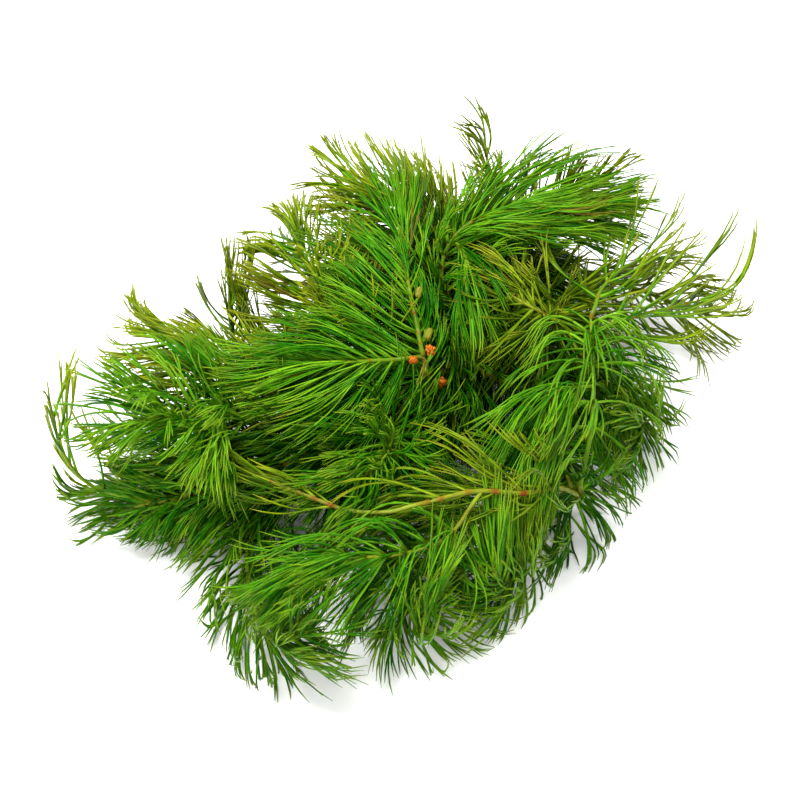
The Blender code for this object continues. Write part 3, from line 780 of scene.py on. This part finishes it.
grow_shoot("right_stem", "main_stem", 0.40, [(22, -18, 14), (15, -36, 11), (5, -49, 15), (1, -53, 26)],
           leaf=27, opening=(80, 60), curl=(-0.2, -0.2, -0.5), bare=0.12, parting=(OPEN_SIDE, 60, 1.0),
           kind=LIKE_OLD_SHADED, gaps=(3.5, 3.5), unrest=1.5, count=13, node=0.9)
grow_shoot("right_shoot", "right_stem", 0.97, [(9, -49, 34), (16, -44, 39), (25, -36, 42), (34, -28, 42)],
           leaf=34, opening=(75, 50), bend=(-0.1, 0.2), comb=(-0.4, -0.36, -0.3),
           curl=(-1.1, -1.0, -1.2), bare=0.3, follow=0.2, cling=0.05, gaps=(6.5, 3.5), count=13)
grow_shoot("right_fan", "right_shoot", 0.86, [(38, -36, 43), (47, -41, 43), (56, -45, 42)],
           leaf=42, opening=(46, 16), curl=(0.25, 0.25, 0.55), follow=0.8, cling=0.4, bare=0.15,
           radii=SLIM, kind=LIKE_YOUNG_OUTER, gaps=(6.0, 3.5), unrest=0.5, count=4, girth=1.3)
grow_shoot("upper_fan", "right_shoot", 0.97, [(42, -25, 43), (50, -25, 44), (57, -26, 43)],
           leaf=33, opening=(52, 18), curl=(0.1, 0.3, 0.3), follow=0.8, cling=0.4, bare=0.15,
           radii=SLIM, kind=LIKE_YOUNG_OUTER, gaps=(6.0, 4.0), unrest=0.6, count=5, girth=1.3)
grow_shoot("hanging_plume", "right_shoot", 0.52, [(8, -39, 43), (0, -41, 41), (-6, -43, 37)],
           leaf=31, opening=(38, 12), comb=(0.02, -0.38, -0.32), curl=(0, -0.1, -0.25), cling=0.3,
           bare=0.12, radii=SLIM, kind=LIKE_VIVID, unrest=0.6, count=13, girth=1.0)
grow_shoot("inner_shoot", "main_stem", 0.29, [(39, -6, 25), (34, -17, 33), (28, -16, 40), (26, -7, 42)],
           leaf=28, opening=(85, 50), bend=(-0.4, 0.8), curl=(0.1, 0.1, -0.2), bare=0.1, follow=0.5,
           parting=(OPEN_SIDE, 75, 1.0), radii=SLIM, kind=LIKE_OLD, gaps=(3.0, 3.0), unrest=1.8, count=13,
           girth=1.3)
grow_shoot("upright_shoot", "main_stem", 0.18, [(64, 16, 22), (71, 8, 32), (77, 2, 40)],
           leaf=23, opening=(38, 15), curl=(0, 0.45, 0.5), radii=SLIM, kind=LIKE_OLD, gaps=(5.0, 4.0),
           count=5, girth=1.3)
grow_shoot("end_shoot", "main_stem", 0.14, [(64, 28, 21), (70, 36, 30), (73, 40, 38)],
           leaf=21, opening=(40, 15), curl=(-0.3, 0.2, 0), radii=SLIM, kind=LIKE_OLD, gaps=(8.0, 5.0),
           unrest=1.6, count=5, girth=1.3)

# The front shoots. An old, nearly bare stem with red-brown nodes arches over the front and turns up into
# an olive shoot, with two greener shoots beside it.
LIKE_YOUNG_ON_OLD = (OLD_STALK, YOUNG_LEAF, "young_shoot", 0.6)

grow_shoot("front_stem", "right_stem", 0.92,
           [(-8, -53, 33), (-18, -51, 38), (-27, -44, 41), (-37, -38, 41)],
           leaf=32, opening=(32, 30), bend=(0.3, 0.8), bare=0.2, parting=(OPEN_SIDE, 85, 1.1),
           radii=(0.8, 0.6), kind=LIKE_OLD, gaps=(8.0, 6.0), count=7, thinning=0.5, node=1.1)
grow_shoot("front_shoot", "front_stem", 0.98,
           [(-44, -32, 39), (-49, -24, 38), (-52, -14, 38), (-55, -2, 38)],
           leaf=21, opening=(24, 10), bend=(0.5, 1.0), follow=0.25, bare=0.5, radii=SLIM, kind=LIKE_OLD,
           gaps=(5.0, 3.5), parting=(OPEN_SIDE, 80, 0.8), unrest=1.4, count=5, node=1.1)
grow_shoot("middle_shoot", "main_stem", 0.60, [(-20, -12, 32), (-30, -19, 37), (-42, -20, 38)],
           leaf=23, opening=(75, 35), comb=(0.2, 0.28, 0.1), bare=0.25, count=11)
grow_shoot("front_left_shoot", "front_stem", 0.72,
           [(-37, -44, 33), (-48, -39, 33), (-58, -31, 34), (-67, -24, 32)],
           leaf=29, opening=(75, 25), curl=(-0.15, -0.15, -0.3), bare=0.2, kind=LIKE_YOUNG_ON_OLD,
           gaps=(8.0, 1.5), count=12, girth=1.1, slender=0.6)

# The left shoots. Fresh shoots with soft bright leaves, which fork from the main stem, spread over the left
# end of the mound and stand up at its corner.
LIKE_GROWN_OUTER = (GREEN_STALK, OUTER_LEAF, "grown_shoot", 0.76)

grow_shoot("left_shoot", "main_stem", 0.80, [(-50, 24, 32), (-58, 28, 39), (-66, 30, 40)],
           leaf=29, opening=(70, 20), bare=0.25, kind=LIKE_YOUNG, count=9)
grow_shoot("left_inner_shoot", "main_stem", 0.72, [(-40, 16, 32), (-46, 20, 37), (-56, 12, 39)],
           leaf=30, opening=(62, 20), bend=(0.3, 0.6), bare=0.3, kind=LIKE_YOUNG, count=10)
grow_shoot("far_left_shoot", "main_stem", 0.97, [(-73, 37, 20), (-77, 45, 29), (-76, 48, 38)],
           leaf=27, opening=(70, 42), curl=(-0.1, 0.1, 0.3), bare=0.15, radii=SLIM, kind=LIKE_GROWN_OUTER,
           gaps=(4.0, 3.0), count=5, girth=1.3)

# The back shoots. Three grown shoots that fork from the main stem and lean out over the far side of the
# mound, their leaves olive from a quarter of their length on.
grow_shoot("back_left_shoot", "main_stem", 0.66, [(-28, 22, 28), (-34, 38, 34), (-38, 49, 37)],
           kind=LIKE_GROWN_OUTER, count=8)
grow_shoot("back_shoot", "main_stem", 0.55, [(-5, 14, 28), (0, 30, 36), (6, 44, 40)],
           opening=(85, 40), bend=(0.0, 0.4), kind=LIKE_GROWN_OUTER, count=12)
grow_shoot("back_right_shoot", "main_stem", 0.28, [(40, 22, 25), (38, 36, 34), (32, 48, 39)],
           kind=LIKE_GROWN_OUTER, bare=0.15)

# The low shoots. Grown shoots that lie on the surface all round and spread the mound, their leaves pressed
# flat below. They fork from the old stems, and most of them turn up at the mound's edge.
LIKE_GROWN_OLIVE = (GREEN_STALK, OLD_LEAF, "grown_shoot", 0.85)
# Painted light: the low front shoots' leaves start fresher, and so paler, for the light that reaches them
# at the front
LIKE_GROWN_LIT = (GREEN_STALK, GROWN_LEAF, "grown_shoot", 0.9)
LOW_HABIT = {"leaf": 31, "opening": (70, 20), "bend": (0.2, 0.8), "curl": (0, 0, 0.35), "follow": 0.6,
             "cling": 0.3, "unrest": 1.5, "count": 10, "bare": 0.04, "thinning": 0.8}

grow_shoot("low_right_shoot", "main_stem", 0.10, [(69, 8, 9), (75, -10, 9), (74, -30, 15), (67, -43, 26)],
           kind=LIKE_GROWN_OLIVE, **LOW_HABIT | {"count": 5, "thinning": 0.95})
grow_shoot("low_back_right_shoot", "main_stem", 0.16, [(58, 30, 9), (46, 42, 7), (30, 46, 7)],
           kind=LIKE_GROWN_OLIVE, **LOW_HABIT | {"count": 14})
grow_shoot("low_back_shoot", "main_stem", 0.50, [(0, 16, 11), (-9, 32, 9), (-14, 46, 18), (-12, 50, 32)],
           kind=LIKE_GROWN_OUTER, **LOW_HABIT | {"count": 8, "thinning": 0.9})
grow_shoot("low_left_shoot", "main_stem", 0.78,
           [(-54, 4, 10), (-65, -8, 8), (-73, -21, 11), (-72, -33, 21)],
           **LOW_HABIT)
grow_shoot("low_back_left_shoot", "main_stem", 0.74, [(-44, 26, 10), (-58, 40, 7), (-71, 46, 7)],
           **LOW_HABIT | {"count": 7})
grow_shoot("low_front_left_shoot", "main_stem", 0.64,
           [(-28, -16, 10), (-41, -35, 8), (-50, -48, 15), (-51, -51, 27)],
           comb=(0.25, 0.15, 0.0), kind=LIKE_GROWN_LIT, **LOW_HABIT)
grow_shoot("low_front_shoot", "right_stem", 0.62,
           [(-4, -41, 8), (-17, -50, 10), (-28, -54, 17), (-32, -54, 27)],
           comb=(0.1, 0.35, 0.05), kind=LIKE_GROWN_LIT, **LOW_HABIT | {"count": 13})
grow_shoot("low_front_right_shoot", "main_stem", 0.27,
           [(44, -10, 12), (43, -28, 10), (35, -45, 17), (24, -52, 28)],
           comb=(-0.3, 0.1, 0.0), kind=LIKE_GROWN_LIT, **LOW_HABIT)

# The spent flowers and buds, in the leaf axils of the crown and its left plume. The flowers are crumbly
# orange tufts of dried stamens, the buds yellow-green cups of small scales. Each sits close to the stalk.
FLOWER_COAT = 0.1
CRUMB_SCALE = 1500.0
PAINTED_SHADE_IN_HOLLOWS = (0.35, 0.6, 1.0, 0.0)
PAINTED_LIGHT_ON_CRUMBS = (0.55, 0.72, 0.0, 1.0)
SMOOTHER_BY = 0.12
ROUGHER_BY = 0.15
CRUMB_STRENGTH = 0.5
CRUMB_DEPTH = 0.15 * MM


def flower_material(name, colour, hollow_shade, light, rough):
    """Crumbly tissue, with shade painted dark into its hollows and light painted onto its crumbs."""
    material, tree, shader = wet_shader(name, FLOWER_COAT)
    place = node_at(tree, "ShaderNodeTexCoord").outputs["Object"]
    crumbs = speckle(tree, place, EVEN, CRUMB_SCALE)
    colour = blend_colours(tree, remap(tree, crumbs, *PAINTED_SHADE_IN_HOLLOWS), colour, hollow_shade)
    colour = blend_colours(tree, remap(tree, crumbs, *PAINTED_LIGHT_ON_CRUMBS), colour, light)
    tree.links.new(colour, shader.inputs["Base Color"])
    roughness = remap(tree, crumbs, NOISE_LOW, NOISE_HIGH, rough - SMOOTHER_BY, rough + ROUGHER_BY)
    tree.links.new(roughness, shader.inputs["Roughness"])
    raise_surface(tree, shader, crumbs, CRUMB_STRENGTH, CRUMB_DEPTH)
    return material


# The second colour is shade painted into the hollows, the third light painted onto the crumbs
SPENT_FLOWER = flower_material("spent_flower", (0.33, 0.078, 0.004), (0.19, 0.035, 0.003),
                               (0.47, 0.19, 0.012), 0.6)
BUD = flower_material("bud", (0.12, 0.15, 0.008), (0.12, 0.09, 0.008), (0.24, 0.18, 0.012), 0.45)


# The lumps of the flowers and buds, their sizes as shares of half a flower's width and length
SPIRAL_TURN = math.radians(137.5)
CRUMBS = 26
CRUMB_SIZE = Vector((0.38, 0.38, 0.46))
CRUMB_OUT = 0.74
CRUMB_USUAL = 0.75
CRUMB_CHANGE = 0.35
CRUMB_FREQUENCY = 3.1
SCALES = 7
SCALE_SIZE = Vector((0.52, 0.52, 0.86))
SCALE_OUT = 0.42
SCALE_RISE = 0.12
SCALE_LEAN = 0.12
BUD_TILT = 0.35
LUMP_DETAIL = 2
LUMP_DENTS = 0.16
DENT_FREQUENCY = 4.0
# Moves the noise along, so that each flower has dents of its own
DENT_SHIFT = 40


def spiral(count):
    """Angles round a flower, and heights from its top at 1 down to its foot at -1."""
    for index in range(count):
        yield index * SPIRAL_TURN, 1 - 2 * (index + 0.5) / count


def flower_crumbs():
    """Middle, size and direction of each crumb of a spent flower, all over a ball."""
    for around, height in spiral(CRUMBS):
        flat = math.sqrt(1 - height ** 2)
        way = Vector((math.cos(around) * flat, math.sin(around) * flat, height))
        size = CRUMB_USUAL + CRUMB_CHANGE * noise.noise(way * CRUMB_FREQUENCY)
        yield way * CRUMB_OUT * size, CRUMB_SIZE * size, way


def bud_scales():
    """Middle, size and direction of each scale of a bud, round a cup."""
    for around, height in spiral(SCALES):
        middle = Vector((math.cos(around) * SCALE_OUT, math.sin(around) * SCALE_OUT, SCALE_RISE * height))
        yield middle, SCALE_SIZE, Vector((math.cos(around) * SCALE_LEAN, math.sin(around) * SCALE_LEAN, 1))


# What a flower is like: its lumps, how far it tilts away from the stalk, its finish and its material slot
LIKE_SPENT_FLOWER = (flower_crumbs, 0.0, SPENT_FLOWER, "spent_flower")
LIKE_BUD = (bud_scales, BUD_TILT, BUD, "bud")


def grow_flower(name, grows_from, at, facing, across, long, kind):
    """One flower or bud at a share of its stalk's length, facing one way, with its size in millimetres."""
    lumps, tilt, finish, slot = kind
    axis = axes[grows_from]
    points, tangents, _, _ = axis.stations(np.array([axis.length * at]))
    point, tangent = Vector(points[0]), Vector(tangents[0])
    facing = Vector(facing)
    facing = (facing - tangent * facing.dot(tangent)).normalized()
    half_across, half_long = across * MM / 2, long * MM / 2
    reach = thickness[grows_from][0] * MM + CLEARANCE + half_across * (1 + LUMP_DENTS)
    turn = tangent.lerp(facing, tilt).to_track_quat("Z", "X")
    bm = bmesh.new()
    for centre, size, way in lumps():
        lump = bmesh.ops.create_icosphere(bm, subdivisions=LUMP_DETAIL, radius=1.0)["verts"]
        lean = way.to_track_quat("Z", "Y")
        for vert in lump:
            co = centre + lean @ Vector((vert.co.x * size.x, vert.co.y * size.y, vert.co.z * size.z))
            co *= 1 + LUMP_DENTS * noise.noise(co * DENT_FREQUENCY + Vector((at * DENT_SHIFT, 0, 0)))
            sized = Vector((co.x * half_across, co.y * half_across, co.z * half_long))
            vert.co = point + facing * reach + turn @ sized
    mesh = bpy.data.meshes.new(name + "_tuft")
    bm.to_mesh(mesh)
    bm.free()
    mesh.materials.append(finish)
    mesh.shade_smooth()
    piece = bpy.data.objects.new(name + "_tuft", mesh)
    bpy.context.scene.collection.objects.link(piece)
    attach(piece, "root")
    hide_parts(name)


grow_flower("low_flower", "crown", 0.13, (-0.2, -0.8, 0.6), 3.2, 3.2, LIKE_SPENT_FLOWER)
grow_flower("middle_flower", "crown", 0.29, (0.2, -0.8, 0.5), 2.6, 2.8, LIKE_SPENT_FLOWER)
grow_flower("side_flower", "left_plume", 0.19, (-0.5, -0.6, 0.6), 2.4, 2.4, LIKE_SPENT_FLOWER)
grow_flower("low_bud", "crown", 0.36, (0.6, -0.6, 0.5), 2.2, 3.6, LIKE_BUD)
grow_flower("high_bud", "crown", 0.55, (0.6, -0.6, 0.5), 1.8, 3.2, LIKE_BUD)

# The studio: a plain pale floor, a large soft light overhead, two softer ones from the sides, and a camera
# that looks down on the mound from one corner with a long lens.
FLOOR_SIZE = 4.0
FLOOR_COLOUR = (0.86, 0.86, 0.85, 1.0)
FLOOR_ROUGHNESS = 0.7
LIT_POINT = Vector((0, 0, 0.02))
AIR_COLOUR = (1.0, 1.0, 1.0, 1.0)
AIR_BRIGHTNESS = 0.56
CAMERA_AROUND = math.radians(-48.0)
CAMERA_UP = math.radians(47.0)
CAMERA_DISTANCE = 0.707
CAMERA_LENS = 135.0
SENSOR_WIDTH = 36.0
NEAREST_SEEN = 0.01
LOOKED_AT = Vector((-0.0179, -0.0127, 0.042))

bpy.ops.mesh.primitive_plane_add(size=FLOOR_SIZE)
floor = bpy.context.object
floor.name = "floor"
paper = bpy.data.materials.new("pale_floor")
paper.use_nodes = True
paper.node_tree.nodes["Principled BSDF"].inputs["Base Color"].default_value = FLOOR_COLOUR
paper.node_tree.nodes["Principled BSDF"].inputs["Roughness"].default_value = FLOOR_ROUGHNESS
floor.data.materials.append(paper)


def soft_light(name, place, size, power):
    lamp = bpy.data.lights.new(name, "AREA")
    lamp.size = size
    lamp.energy = power
    holder = bpy.data.objects.new(name, lamp)
    holder.location = place
    holder.rotation_euler = (LIT_POINT - Vector(place)).to_track_quat("-Z", "Y").to_euler()
    bpy.context.scene.collection.objects.link(holder)


soft_light("overhead_light", (-0.15, 0.2, 0.8), 0.4, 16.5)
soft_light("side_light", (0.7, -0.3, 0.5), 0.4, 6.0)
soft_light("front_light", (-0.6, -0.35, 0.5), 0.5, 7.0)

world = bpy.data.worlds.new("studio_air")
world.use_nodes = True
world.node_tree.nodes["Background"].inputs["Color"].default_value = AIR_COLOUR
world.node_tree.nodes["Background"].inputs["Strength"].default_value = AIR_BRIGHTNESS
bpy.context.scene.world = world
bpy.context.scene.view_settings.view_transform = "Standard"

camera_data = bpy.data.cameras.new("camera")
camera_data.lens = CAMERA_LENS
camera_data.sensor_width = SENSOR_WIDTH
camera_data.clip_start = NEAREST_SEEN
camera = bpy.data.objects.new("camera", camera_data)
back = Vector((math.sin(CAMERA_AROUND) * math.cos(CAMERA_UP),
               -math.cos(CAMERA_AROUND) * math.cos(CAMERA_UP),
               math.sin(CAMERA_UP)))
camera.location = LOOKED_AT + back * CAMERA_DISTANCE
camera.rotation_euler = (-back).to_track_quat("-Z", "Y").to_euler()
bpy.context.scene.collection.objects.link(camera)
bpy.context.scene.camera = camera
